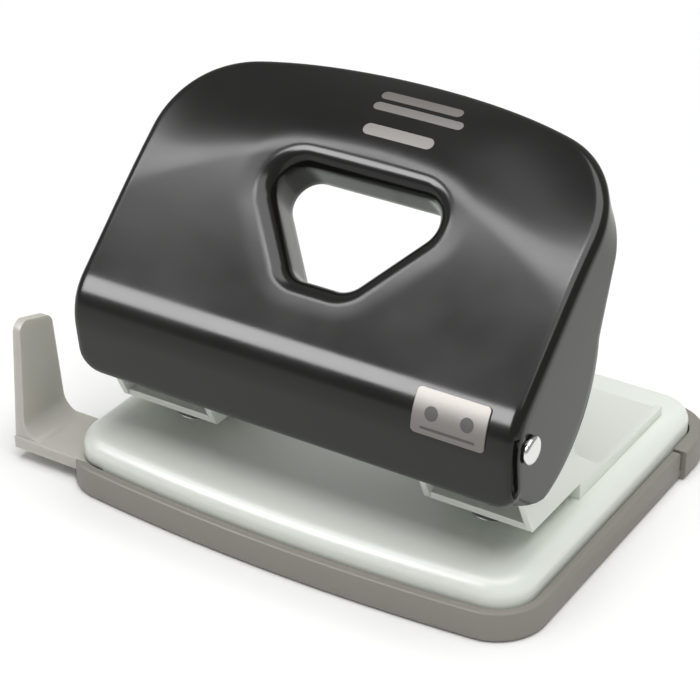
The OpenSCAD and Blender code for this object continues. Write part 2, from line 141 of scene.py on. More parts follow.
class LeverSizes(bpy.types.PropertyGroup):
    """Sizes of the pressed lever"""

    width: length("Width", "Across the side flanges", LEVER_HIGH.x - LEVER_LOW.x)
    sheet: length("Sheet", "Thickness of the sheet steel", 1.2 * MM)
    front_rise: length("Front rise", "Height of the straight lower front", 12.9 * MM)
    front_angle: angle("Front angle", "Lean of the lower front", 97)
    knee_radius: length("Knee radius", "Bend between front and slope", 14 * MM)
    slope_length: length("Slope length", "Straight part that the hand pushes", 42.2 * MM)
    slope_angle: angle("Slope angle", "Slope above the horizontal", 42.6)
    crown_radius: length("Crown radius", "Roll of the upper edge in its middle", 38 * MM)
    crown_end: angle("Crown end", "Slope left at the upper edge", 2)
    crown_arch: length("Crown arch", "How much lower the roll starts at the sides", 23 * MM)
    top_arch: length("Top arch", "Plan radius of the upper edge", 120 * MM)
    top_corner: length("Top corner", "Plan radius of the upper corners", 26 * MM)
    low_corner: length("Low corner", "Plan radius of the lower corners", 6 * MM)
    fold: length("Fold", "Outer radius of the fold to the flanges", 2.4 * MM)
    hem: length("Hem", "Turned-in edge along the bottom", 3 * MM)
    roll: length("Roll", "Turned-in edge along the top", 7 * MM)
    window_place: amount("Window place", "Share of the slope below the window's middle", 0.56)
    window_corner: length("Window corner", "Radius of the window's corners", 6 * MM)
    window_top_half: length("Window top", "Centre line to an upper corner's middle", 14.4 * MM)
    window_low_half: length("Window bottom", "Centre line to a lower corner's middle", 4.2 * MM)
    window_rise: length("Window rise", "Window's middle up to the upper corners", 9.1 * MM)
    window_fall: length("Window fall", "Window's middle down to the lower corners", 4.3 * MM)
    collar: length("Collar", "Depth of the collar turned in round the window", 13 * MM)
    flare: length("Flare", "Radius of the window's turned-in rim", 4.2 * MM)
    dish: length("Dish", "Depth of the shallow dish round the window", 0.25 * MM)
    dish_width: length("Dish width", "Width of that dish", 9 * MM)
    slit_depth: length("Slit depth", "Depth of the relief slit in the fold", 1.6 * MM)
    label_low: length("Label bottom", "Name plate's lower edge, along the front", 14.5 * MM)
    label_high: length("Label top", "Name plate's upper edge, along the front", 24.5 * MM)


class BaseSizes(bpy.types.PropertyGroup):
    """Sizes of the base plate, the tray and the feet"""

    corner: length("Corner", "Plan radius of the tray's corners", 11 * MM)
    front_bow: length("Front bow", "How far the front edge bows forward", 4 * MM)
    tray_wall: length("Tray wall", "Thickness of the tray's wall", 2.3 * MM)
    tray_floor: length("Tray floor", "Thickness of the tray's floor", 1.5 * MM)
    gap: length("Gap", "Gap between the tray's wall and the plate", 0.4 * MM)
    sheet: length("Sheet", "Thickness of the plate's sheet steel", 1.5 * MM)
    shoulder: length("Shoulder", "Radius of the plate's shoulder", 4 * MM)
    ear_proud: length("Ear", "How far the pull ear stands proud", 1.1 * MM)
    foot: length("Foot", "Diameter of a rubber foot", FOOT_WIDTH)
    clearance: length("Clearance", "Space round the guide's bar and the feet", 1.8 * MM)


class MechanismSizes(bpy.types.PropertyGroup):
    """Sizes of the punch heads"""

    sheet: length("Sheet", "Thickness of the brackets' sheet steel", 1.6 * MM)
    lip_front: length("Lip front", "Front edge of the lip over the paper", -31 * MM)
    stop_y: length("Stop", "Place of the stop that the paper meets", -8.5 * MM)
    lip_height: length("Lip height", "Underside of the lip over the paper", 18 * MM)
    guide_height: length("Guide height", "Underside of the pin's upper guide", 28 * MM)
    pin_bore: length("Pin bore", "Radius of the hole that guides the pin", 2.85 * MM)
    axle_ear: length("Axle ear", "Radius of the bracket round the axle", 4 * MM)
    rivet: length("Rivet", "Diameter of a rivet's head", 6 * MM)
    wire: length("Wire", "Diameter of the spring wire", 0.9 * MM)
    turns: amount("Turns", "Turns of a return spring", 6)
    stroke: length("Stroke", "How far a full press lowers the punches", 6.75 * MM)


class GuideSizes(bpy.types.PropertyGroup):
    """Sizes of the sliding paper guide"""

    bar: length("Bar", "Thickness of the sliding bar", 3 * MM)
    fin: length("Fin", "Thickness of the fin", 2.6 * MM)
    web: length("Web", "Radius where the fin meets the bar", 5 * MM)
    fin_corner: length("Fin corner", "Radius of the fin's upper corners", 3 * MM)


class FinishColours(bpy.types.PropertyGroup):
    """Colours of the finishes"""

    tray: colour("Tray", "Moulded grey plastic of the tray", "#85817A")
    white: colour("White", "Enamel of the plate and the brackets", "#E3E8E0")
    black: colour("Black", "Enamel of the lever", "#141312")
    guide: colour("Guide", "Translucent plastic of the guide", "#B9B7AF")
    rubber: colour("Rubber", "Feet", "#242424")
    nylon: colour("Nylon", "Black mouldings of the mechanism", "#232325")
    natural: colour("Natural", "Natural nylon washers", "#DCD9CE")
    steel: colour("Steel", "Ground and turned steel", "#B9BABC")
    bright: colour("Bright", "Nickel-plated caps and rivets", "#DEDEDC")
    foil: colour("Foil", "Silver name plate and printed bars", "#767370")
    ink: colour("Ink", "Print on the name plate", "#4B4A49")
    floor: colour("Floor", "Pale floor", "#F4F4F3")


class StudioSizes(bpy.types.PropertyGroup):
    """Camera, lights and floor"""

    camera_azimuth: angle("Azimuth", "Camera's turn to the right", 32.1)
    camera_elevation: angle("Elevation", "Camera's angle above the table", 29.98)
    camera_distance: length("Distance", "Camera to the aimed point", 579.26 * MM)
    aim_x: length("Aim X", "Aimed point on the table", -36.6 * MM)
    aim_y: length("Aim Y", "Aimed point on the table", 40.85 * MM)
    lens: amount("Lens", "Focal length in millimetres on a 36 mm sensor", 114.5)
    sky: amount("Sky", "Strength of the white surroundings", 0.4)
    crown: amount("Crown", "Watts of the softbox mirrored along the crown", 2.4)
    knee: amount("Knee", "Watts of the softbox mirrored along the knee", 10.5)
    fill: amount("Fill", "Watts of the broad light over the object", 28.0)
    floor_size: length("Floor size", "Width of the floor", 6.0)


# ------------------------------------------------------------------ meshes


def mesh_from(name, points, faces):
    mesh = bpy.data.meshes.new(name)
    mesh.from_pydata([tuple(p) for p in points], [], faces)
    mesh.validate()
    return mesh


def loft(rings, closed=False, caps=True):
    """Points and faces of a skin over rings with equal numbers of points."""
    count, turns = len(rings[0]), len(rings)
    points = [p for ring in rings for p in ring]
    faces = []
    for k in range(turns if closed else turns - 1):
        a, b = k * count, ((k + 1) % turns) * count
        for j in range(count):
            i = (j + 1) % count
            faces.append((a + j, b + j, b + i, a + i))
    if caps and not closed:
        faces.append(tuple(range(count)))
        faces.append(tuple((turns - 1) * count + j for j in reversed(range(count))))
    return points, faces


def lofted(name, rings, closed=False, caps=True):
    return outward(mesh_from(name, *loft(rings, closed, caps)))


def outward(mesh):
    """Turns every face of a closed mesh outward."""
    work = bmesh.new()
    work.from_mesh(mesh)
    bmesh.ops.remove_doubles(work, verts=work.verts, dist=1e-7)
    bmesh.ops.recalc_face_normals(work, faces=work.faces)
    work.to_mesh(mesh)
    work.free()
    return mesh


def turned(name, profile, steps=48):
    """A turned piece: the profile's points are [radius, height] from axis to axis."""
    rings = []
    for radius, height in profile:
        r = max(radius, 1e-6)
        rings.append(
            [
                (r * math.cos(a), r * math.sin(a), height)
                for a in (2 * math.pi * i / steps for i in range(steps))
            ]
        )
    return lofted(name, rings)


def extruded(name, outline, low, high, axis="z"):
    """A plate: a closed outline in two coordinates, pushed from low to high on an axis."""
    order = {
        "x": lambda p, h: (h, p[0], p[1]),
        "y": lambda p, h: (p[0], h, p[1]),
        "z": lambda p, h: (p[0], p[1], h),
    }[axis]
    return lofted(name, [[order(p, low) for p in outline], [order(p, high) for p in outline]])


def block(name, low, high):
    outline = [(low[0], low[1]), (high[0], low[1]), (high[0], high[1]), (low[0], high[1])]
    return extruded(name, outline, low[2], high[2])


def arc(centre, radius, start, end, steps=10):
    """Points of an arc from one angle to another, in degrees."""
    angles = np.radians(np.linspace(start, end, steps + 1))
    return [(centre[0] + radius * math.cos(a), centre[1] + radius * math.sin(a)) for a in angles]


def placed(mesh, matrix):
    mesh.transform(matrix)
    return mesh


def moved(mesh, x=0.0, y=0.0, z=0.0):
    return placed(mesh, Matrix.Translation((x, y, z)))


def along_x(mesh):
    """Turns a mesh so that its Z axis points along X."""
    return placed(mesh, Matrix.Rotation(math.pi / 2, 4, "Y"))


def mirrored(mesh):
    other = mesh.copy()
    other.transform(Matrix.Scale(-1, 4, (1, 0, 0)))
    other.flip_normals()
    return other


def with_modifiers(mesh, modifiers):
    """A new mesh with modifiers applied, each given as (type, settings)."""
    work = bpy.data.objects.new("work", mesh)
    bpy.context.scene.collection.objects.link(work)
    for kind, settings in modifiers:
        modifier = work.modifiers.new(kind.lower(), kind)
        for key, value in settings.items():
            setattr(modifier, key, value)
    graph = bpy.context.evaluated_depsgraph_get()
    made = bpy.data.meshes.new_from_object(work.evaluated_get(graph))
    bpy.data.objects.remove(work)
    return made


def combined(mesh, operation, tools):
    """The mesh after a boolean operation with each tool mesh."""
    for tool in tools:
        cutter = bpy.data.objects.new("cutter", tool)
        bpy.context.scene.collection.objects.link(cutter)
        mesh = with_modifiers(
            mesh, [("BOOLEAN", {"operation": operation, "object": cutter, "solver": "EXACT"})]
        )
        bpy.data.objects.remove(cutter)
    return mesh


def cut(mesh, *tools):
    return combined(mesh, "DIFFERENCE", tools)


def joined(mesh, *others):
    return combined(mesh, "UNION", others)


def softened(mesh, width, segments=3, limit=30):
    """The mesh with its sharp edges rounded."""
    return with_modifiers(
        mesh,
        [
            (
                "BEVEL",
                {
                    "width": width,
                    "segments": segments,
                    "limit_method": "ANGLE",
                    "angle_limit": math.radians(limit),
                    "use_clamp_overlap": True,
                },
            )
        ],
    )


def gathered(name, meshes):
    """One mesh that holds several separate ones."""
    work = bmesh.new()
    for mesh in meshes:
        work.from_mesh(mesh)
    made = bpy.data.meshes.new(name)
    work.to_mesh(made)
    work.free()
    return made


def piece(name, mesh, body, material, stands_for, smooth_limit=35):
    """Adds a piece to the scene, with its finish and body, and hides the nodes it replaces."""
    made = bpy.data.objects.new(name, mesh)
    bpy.context.scene.collection.objects.link(made)
    mesh.materials.clear()
    mesh.materials.append(material)
    mesh.shade_smooth()
    mesh.set_sharp_from_angle(angle=math.radians(smooth_limit))
    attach(made, body)
    if stands_for:
        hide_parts(*stands_for)
    return made


# ------------------------------------------------------------------ finishes


def add_node(tree, kind, inputs=None, links=None, **settings):
    """Adds a shader node with its settings, socket values and incoming links."""
    node = tree.nodes.new(kind)
    for key, value in settings.items():
        setattr(node, key, value)
    for key, value in (inputs or {}).items():
        node.inputs[key].default_value = value
    for key, source in (links or {}).items():
        tree.links.new(source, node.inputs[key])
    return node


def shaded(base, factor):
    """A colour made lighter or darker, as a socket value."""
    return (*[min(1.0, c * factor) for c in base], 1.0)


def grained(
    name,
    base,
    roughness,
    grain,
    relief,
    cloud=25 * MM,
    variation=0.04,
    roughness_variation=0.05,
    stretch=(1, 1, 1),
    second=None,
    **shader,
):
    """A finish with clouded colour, uneven roughness and a surface grain.

    grain is the spacing of the grain and relief its depth, both in metres.
    """
    material = bpy.data.materials.new(name)
    material.use_nodes = True
    tree = material.node_tree
    tree.nodes.clear()
    place = add_node(tree, "ShaderNodeTexCoord")
    scaled = add_node(
        tree, "ShaderNodeMapping", {"Scale": stretch}, {"Vector": place.outputs["Object"]}
    )
    clouds = add_node(
        tree,
        "ShaderNodeTexNoise",
        {"Scale": 1 / cloud, "Detail": 4.0, "Roughness": 0.55},
        {"Vector": scaled.outputs["Vector"]},
    )
    tint = add_node(
        tree,
        "ShaderNodeMix",
        {"A": shaded(base, 1 - variation), "B": shaded(base, 1 + variation)},
        data_type="RGBA",
    )
    tree.links.new(clouds.outputs["Fac"], tint.inputs["Factor"])
    rough = add_node(
        tree,
        "ShaderNodeMapRange",
        {
            "From Min": 0.3,
            "From Max": 0.7,
            "To Min": max(0.02, roughness - roughness_variation),
            "To Max": roughness + roughness_variation,
        },
        {"Value": clouds.outputs["Fac"]},
    )
    fine = add_node(
        tree,
        "ShaderNodeTexNoise",
        {"Scale": 1 / grain, "Detail": 3.0, "Roughness": 0.5},
        {"Vector": scaled.outputs["Vector"]},
    )
    height = fine.outputs["Fac"]
    if second:
        coarse = add_node(
            tree,
            "ShaderNodeTexNoise",
            {"Scale": 1 / second[0], "Detail": 2.0},
            {"Vector": scaled.outputs["Vector"]},
        )
        height = add_node(
            tree,
            "ShaderNodeMath",
            {1: second[1]},
            {0: coarse.outputs["Fac"], 2: fine.outputs["Fac"]},
            operation="MULTIPLY_ADD",
        ).outputs["Value"]
    bump = add_node(
        tree,
        "ShaderNodeBump",
        {"Distance": relief, "Strength": 1.0},
        {"Height": height},
    )
    surface = add_node(
        tree,
        "ShaderNodeBsdfPrincipled",
        {key.replace("_", " "): value for key, value in shader.items()},
        {
            "Base Color": tint.outputs["Result"],
            "Roughness": rough.outputs["Result"],
            "Normal": bump.outputs["Normal"],
        },
    )
    add_node(
        tree, "ShaderNodeOutputMaterial", links={"Surface": surface.outputs["BSDF"]}
    )
    return material


def finish(kind):
    """The finish of that name, made once."""
    return bpy.data.materials.get(kind) or FINISHES[kind](
        bpy.context.scene.punch_colours
    )


def black_enamel(colours):
    # Stoved gloss enamel on sheet steel: clear soft highlights and a faint orange peel
    return grained(
        "black_stoved_enamel", colours.black, 0.19, 1.6 * MM, 0.0012 * MM,
        variation=0.15, roughness_variation=0.03, second=(9 * MM, 6.0),
        IOR=1.38, Coat_Weight=0.06, Coat_Roughness=0.08,
    )


def white_enamel(colours):
    # Semi-gloss enamel on pressed steel: soft highlights and a fine orange peel
    return grained(
        "white_stoved_enamel", colours.white, 0.35, 1.2 * MM, 0.004 * MM,
        variation=0.012, roughness_variation=0.05, second=(7 * MM, 3.0),
        IOR=1.5, Coat_Weight=0.25, Coat_Roughness=0.3,
    )


def tray_plastic(colours):
    # Injection-moulded polystyrene with a spark-eroded matt surface
    return grained(
        "moulded_grey_polystyrene", colours.tray, 0.55, 0.35 * MM, 0.02 * MM,
        variation=0.035, roughness_variation=0.06, cloud=40 * MM, IOR=1.55,
    )


def guide_plastic(colours):
    # Natural polypropylene, moulded: light scatters inside it and edges glow
    return grained(
        "moulded_natural_polypropylene", colours.guide, 0.38, 0.8 * MM, 0.008 * MM,
        variation=0.03, roughness_variation=0.06, IOR=1.49,
        Subsurface_Weight=0.35, Subsurface_Radius=(0.004, 0.004, 0.0035),
        Subsurface_Scale=1.0,
    )


def foot_rubber(colours):
    # Moulded rubber: dull, with a bloom that clouds it
    return grained(
        "moulded_rubber", colours.rubber, 0.8, 0.3 * MM, 0.02 * MM,
        variation=0.15, roughness_variation=0.08, IOR=1.52,
    )


def nylon_black(colours):
    # Glass-filled nylon: satin, with streaks from the mould
    return grained(
        "moulded_black_nylon", colours.nylon, 0.48, 0.4 * MM, 0.012 * MM,
        variation=0.12, roughness_variation=0.07, stretch=(1, 1, 0.4), IOR=1.53,
    )


def nylon_natural(colours):
    # Punched nylon sheet: waxy and slightly yellow
    return grained(
        "punched_natural_nylon", colours.natural, 0.5, 0.5 * MM, 0.008 * MM, IOR=1.53
    )


def hard_steel(colours):
    # Centreless-ground hardened steel: fine rings across the axis
    return grained(
        "ground_hardened_steel", colours.steel, 0.27, 0.9 * MM, 0.004 * MM,
        variation=0.08, stretch=(0.25, 0.25, 3.2), Metallic=1.0,
    )


def spring_steel(colours):
    # Drawn spring wire: darker, with fine drawing lines
    return grained(
        "drawn_spring_wire", shaded(colours.steel, 0.8)[:3], 0.33, 0.25 * MM, 0.006 * MM,
        variation=0.1, Metallic=1.0,
    )


def bright_steel(colours):
    # Nickel-plated turned steel: bright, with faint turning rings
    return grained(
        "turned_nickelled_steel", colours.bright, 0.16, 0.5 * MM, 0.003 * MM,
        variation=0.04, stretch=(3, 1, 1), Metallic=1.0,
    )


def foil_silver(colours):
    # Brushed and lacquered aluminium foil: satin, brushed from side to side
    return grained(
        "brushed_aluminium_foil", colours.foil, 0.5, 0.35 * MM, 0.006 * MM,
        variation=0.07, stretch=(0.06, 1, 1), Metallic=1.0, Coat_Weight=0.1,
        Coat_Roughness=0.35,
    )


def dark_ink(colours):
    # Screen-printed ink: flat and slightly uneven
    return grained("printed_ink", colours.ink, 0.5, 0.3 * MM, 0.004 * MM, variation=0.1)


FINISHES = {
    "black_stoved_enamel": black_enamel,
    "white_stoved_enamel": white_enamel,
    "moulded_grey_polystyrene": tray_plastic,
    "moulded_natural_polypropylene": guide_plastic,
    "moulded_rubber": foot_rubber,
    "moulded_black_nylon": nylon_black,
    "punched_natural_nylon": nylon_natural,
    "ground_hardened_steel": hard_steel,
    "drawn_spring_wire": spring_steel,
    "turned_nickelled_steel": bright_steel,
    "brushed_aluminium_foil": foil_silver,
    "printed_ink": dark_ink,
}


# ------------------------------------------------------------------ lever surface

# Places seen from the axle, as y and z
FRONT_FOOT = np.array([-4.5 * MM, -14.5 * MM])
FLANGE_MIDDLE = np.array([1.5 * MM, 11.5 * MM])
# The flange's back edge is round up to FLANGE_BEND along the front, then straight
FLANGE_RADIUS, FLANGE_BEND = 29 * MM, 45 * MM
FLANGE_TURN = (-94, 0)
# The straight stretch ends this far past the start of the crown
FLANGE_PAST = 8 * MM
# Ends of the relief slit in the fold, along the front
SLIT_LOW, SLIT_HIGH = 4 * MM, 19 * MM
# A ray from the window's middle starts this long, and is halved this often to find an edge
FARTHEST, HALVINGS = 90 * MM, 34


def ahead(a):
    return np.stack([np.cos(a), np.sin(a)], -1)


def inward(a):
    return np.stack([np.sin(a), -np.cos(a)], -1)


class LeverSurface:
    """The pressed lever's outer face, as points over x and the distance s along its front."""

    def __init__(self, sizes):
        self.z = sizes
        self.half = sizes.width / 2
        self.axle = np.array([AXLE_Y, AXLE_Z])
        self.front = self.axle + FRONT_FOOT
        bend = sizes.front_angle - sizes.slope_angle
        self.slope_start = sizes.front_rise + sizes.knee_radius * bend
        self.crown_start = self.slope_start + sizes.slope_length
        self.end = self.crown_start + sizes.crown_radius * (
            sizes.slope_angle - sizes.crown_end
        )
        self.arch_mid = self.end - sizes.top_arch
        inner = sizes.top_arch - sizes.top_corner
        side = self.half - sizes.top_corner
        self.corner = np.array([side, self.arch_mid + math.sqrt(inner**2 - side**2)])
        mid = self.slope_start + sizes.window_place * sizes.slope_length
        self.window_mid = mid
        # Middles of the window's upper and lower corners
        self.window_top = np.array([sizes.window_top_half, mid + sizes.window_rise])
        self.window_low = np.array([sizes.window_low_half, mid - sizes.window_fall])

    def crown_at(self, x):
        """Where the roll of the upper edge starts at x, and its radius there."""
        start = self.crown_start - self.z.crown_arch * (x / self.half) ** 2
        top = self.arch_mid + np.sqrt(self.z.top_arch**2 - np.minimum(np.abs(x), self.half) ** 2)
        ratio = (top - start) / (top - self.crown_start)
        return start, self.z.crown_radius * ratio**2

    def heading(self, x, s):
        z = self.z
        start, radius = self.crown_at(x)
        knee = z.front_angle - (s - z.front_rise) / z.knee_radius
        crown = z.slope_angle - (s - start) / radius
        return np.where(
            s < z.front_rise,
            z.front_angle,
            np.where(s < self.slope_start, knee, np.where(s < start, z.slope_angle, crown)),
        )

    def profile(self, x, s):
        """[y, z] of the outer face."""
        z = self.z
        start, radius = self.crown_at(x)
        h = self.heading(x, s)
        a, b = np.array(z.front_angle), np.array(z.slope_angle)
        knee_point = self.front + z.front_rise * ahead(a)
        slope_point = knee_point + z.knee_radius * (inward(a) - inward(b))
        low = self.front + s[..., None] * ahead(a)
        knee = knee_point + z.knee_radius * (inward(a) - inward(h))
        slope = slope_point + (s - self.slope_start)[..., None] * ahead(b)
        crown_point = slope_point + (start - self.slope_start)[..., None] * ahead(b)
        crown = crown_point + radius[..., None] * (inward(b) - inward(h))
        s = s[..., None]
        return np.where(
            s < z.front_rise,
            low,
            np.where(s < self.slope_start, knee, np.where(s < start[..., None], slope, crown)),
        )

    def place(self, x, s, depth):
        """Points below the outer face by depth."""
        x, s, depth = np.broadcast_arrays(
            np.asarray(x, float), np.asarray(s, float), np.asarray(depth, float)
        )
        p = self.profile(x, s) + depth[..., None] * inward(self.heading(x, s))
        return np.concatenate([x[..., None], p], -1)

    def outside(self, x, s):
        """Distance outside the face's outline."""
        z = self.z
        q = np.stack([np.abs(x), s], -1)
        turn = np.arctan2(q[..., 1] - self.arch_mid, q[..., 0])
        limit = math.atan2(self.corner[1] - self.arch_mid, self.corner[0])
        box = np.stack(
            [
                q[..., 0] - self.half + z.low_corner,
                np.abs(s - self.corner[1]) - self.corner[1] + z.low_corner,
            ],
            -1,
        )
        low = (
            np.linalg.norm(np.maximum(box, 0), axis=-1)
            + np.minimum(box.max(-1), 0)
            - z.low_corner
        )
        arch = np.hypot(q[..., 0], s - self.arch_mid) - z.top_arch
        corner = (
            np.hypot(np.maximum(q[..., 0] - self.corner[0], 0), s - self.corner[1])
            - z.top_corner
        )
        return np.where(s < self.corner[1], low, np.where(turn > limit, arch, corner))

    def outside_window(self, x, s):
        """Distance outside the window, which tapers downward and has round corners."""
        q = np.stack([np.abs(x), s], -1)
        edge = self.window_top - self.window_low
        out = np.array([edge[1], -edge[0]]) / np.linalg.norm(edge)
        low, top = q - self.window_low, q - self.window_top
        part, side = low @ edge / (edge @ edge), low @ out
        inside = (side <= 0) & (low[..., 1] >= 0) & (top[..., 1] <= 0)
        cases = [
            (inside, np.maximum(np.maximum(side, top[..., 1]), -low[..., 1])),
            ((top[..., 0] <= 0) & (top[..., 1] > 0), top[..., 1]),
            ((low[..., 0] <= 0) & (low[..., 1] < 0), -low[..., 1]),
            (part > 1, np.linalg.norm(top, axis=-1)),
            (part < 0, np.linalg.norm(low, axis=-1)),
        ]
        return np.select([c[0] for c in cases], [c[1] for c in cases], side) - self.z.window_corner

    def reach(self, directions, level, measure):
        """Along each direction from the window's middle, where measure reaches level."""
        low, high = np.zeros(len(directions)), np.full(len(directions), FARTHEST)
        for _ in range(HALVINGS):
            mid = (low + high) / 2
            inside = measure(mid * directions[:, 0], self.window_mid + mid * directions[:, 1]) < level
            low, high = np.where(inside, mid, low), np.where(inside, high, mid)
        return np.stack([low * directions[:, 0], self.window_mid + low * directions[:, 1]], -1)

    def dish(self, x, s):
        """Depth of the shallow dish round the window."""
        w = np.clip(self.outside_window(x, s) / self.z.dish_width, 0, 1)
        return self.z.dish * (1 - w) ** 2 * (1 + 2 * w)

    def flange_back(self, s):
        """Free edge of a side flange, [y, z], beside the point s of the front."""
        bend, end = FLANGE_BEND, self.crown_start + FLANGE_PAST
        centre, radius = self.axle + FLANGE_MIDDLE, FLANGE_RADIUS
        first, last = FLANGE_TURN
        turn = np.radians(first + (last - first) * np.clip(s / bend, 0, 1) ** 0.8)
        low = centre + radius * ahead(turn)
        edge = np.zeros_like(s)
        top = self.profile(edge, np.full_like(s, end)) + self.z.roll * inward(
            self.heading(edge, np.full_like(s, end))
        )
        f = np.clip((s - bend) / (end - bend), 0, 1)[..., None]
        straight = (1 - f) * (centre + [radius, 0]) + f * top
        rolled = self.profile(edge, s) + self.z.roll * inward(self.heading(edge, s))
        s = s[..., None]
        return np.where(s < bend, low, np.where(s < end, straight, rolled))

    def free_edge(self, x, s):
        """Free edge of the flange or hem below the outline's point."""
        z = self.z
        side = np.clip((np.abs(x) - self.half + z.low_corner) / z.low_corner, 0, 1)
        hem = self.profile(x, s) + z.hem * inward(self.heading(x, s))
        w = np.where(s > z.low_corner, 1.0, side**2)[..., None]
        q = (1 - w) * hem + w * self.flange_back(s)
        return np.concatenate([x[..., None], q], -1)


def lever_mesh(sizes):
    surface = LeverSurface(sizes)
    turn = np.linspace(0, 2 * math.pi, 361)[:-1]
    directions = ahead(turn)
    rings = []
    # Straight lip and turned rim of the window
    rim = surface.reach(directions, 0.0, surface.outside_window)
    for depth in np.linspace(sizes.collar, sizes.flare + sizes.dish, 6)[:-1]:
        rings.append(surface.place(rim[:, 0], rim[:, 1], depth))
    for phi in np.radians(np.linspace(90, 0, 10)):
        p = surface.reach(
            directions, sizes.flare * (1 - math.sin(phi)), surface.outside_window
        )
        depth = sizes.flare * (1 - math.cos(phi)) + surface.dish(p[:, 0], p[:, 1])
        rings.append(surface.place(p[:, 0], p[:, 1], depth))
    # Face between the window and the fold
    near = surface.reach(directions, sizes.flare, surface.outside_window)
    far = surface.reach(directions, -sizes.fold, surface.outside)
    for f in np.linspace(0, 1, 56)[1:-1]:
        p = near + f * (far - near)
        rings.append(surface.place(p[:, 0], p[:, 1], surface.dish(p[:, 0], p[:, 1])))
    # Fold, with a relief slit in its lower stretch at each side
    rim = surface.reach(directions, 0.0, surface.outside)
    side = np.abs(rim[:, 0]) > surface.half - 0.5 * MM
    slit = side & (rim[:, 1] > SLIT_LOW) & (rim[:, 1] < SLIT_HIGH)
    for phi in np.radians(np.linspace(0, 90, 9)):
        p = surface.reach(directions, -sizes.fold * (1 - math.sin(phi)), surface.outside)
        ring = surface.place(p[:, 0], p[:, 1], sizes.fold * (1 - math.cos(phi)))
        share = max(0.0, 1 - abs(math.degrees(phi) - 50) / 14)
        ring[:, 0] -= np.where(slit, np.sign(ring[:, 0]) * share * sizes.slit_depth, 0)
        ring[:, 1] += np.where(slit, share * sizes.slit_depth, 0)
        rings.append(ring)
    # Flange down to its free edge
    edge = surface.free_edge(rim[:, 0], rim[:, 1])
    folded = rings[-1]
    for f in np.linspace(0, 1, 15)[1:]:
        rings.append(folded + f * (edge - folded))
    open_sheet = mesh_from("lever_sheet", *loft(rings, caps=False))
    return with_modifiers(
        open_sheet,
        [
            ("SOLIDIFY", {"thickness": sizes.sheet, "offset": -1.0}),
            (
                "BEVEL",
                {
                    "width": 0.22 * MM,
                    "segments": 2,
                    "limit_method": "ANGLE",
                    "angle_limit": math.radians(55),
                },
            ),
        ],
    )


def patch_on_lever(name, sizes, outline, rise, sink=0.0):
    """A thin plate that lies on the lever, with an outline in x and s."""
    surface = LeverSurface(sizes)
    outline = np.array(outline)
    middle = outline.mean(0)
    edge = min(rise * 0.5, 0.15 * MM)
    reach = np.linalg.norm(outline - middle, axis=1).max()
    rings = []
    for share, depth in (
        [(1.0, sink), (1.0, edge - rise), (1 - edge / reach, -rise)]
        + [(f, -rise) for f in (0.85, 0.7, 0.55, 0.4, 0.25, 0.1)]
    ):
        p = middle + share * (outline - middle)
        rings.append(
            surface.place(p[:, 0], p[:, 1], depth + surface.dish(p[:, 0], p[:, 1]))
        )
    back = [middle + share * (outline - middle) for share in (0.1, 0.55)]
    return lofted(name, [surface.place(p[:, 0], p[:, 1], sink) for p in back] + rings)


def round_rectangle(low, high, radius, steps=8, side=10):
    """Outline of a rectangle with round corners, with points along its sides."""
    x0, y0, x1, y1 = low[0] + radius, low[1] + radius, high[0] - radius, high[1] - radius
    outline = []
    for (x, y), start in (((x1, y0), -90), ((x1, y1), 0), ((x0, y1), 90), ((x0, y0), 180)):
        outline += arc((x, y), radius, start, start + 90, steps)
    closed = []
    for (xa, ya), (xb, yb) in zip(outline, outline[1:] + outline[:1]):
        parts = side if math.hypot(xb - xa, yb - ya) > radius else 1
        closed += [(xa + (xb - xa) * k / parts, ya + (yb - ya) * k / parts) for k in range(parts)]
    return closed


# ------------------------------------------------------------------ base shapes


def base_outline(sizes, inset):
    """Plan outline of the base, moved inward."""
    half_w = -TRAY_LOW.x
    half_d = -TRAY_LOW.y - sizes.front_bow
    hw, hd = half_w - inset, half_d - inset
    r = sizes.corner - min(inset, sizes.corner - 2 * MM)
    flat = [(-hw + r + (2 * hw - 2 * r) * i / 48, -hd) for i in range(1, 48)]
    flat += arc((hw - r, -hd + r), r, -90, 0, 14)
    flat += arc((hw - r, hd - r), r, 0, 90, 14)
    flat += arc((-hw + r, hd - r), r, 90, 180, 14)
    flat += arc((-hw + r, -hd + r), r, 180, 270, 14)

    def bow(x):
        return sizes.front_bow * (1 - (x / half_w) ** 2)

    return [
        (x, y - bow(x) * min(1.0, -y / (half_d - r)) if y < 0 else y) for x, y in flat
    ]


def outline_stack(name, sizes, steps):
    """A body made of base outlines, each given as (inset, height)."""
    return lofted(name, [[(x, y, z) for x, y in base_outline(sizes, i)] for i, z in steps])


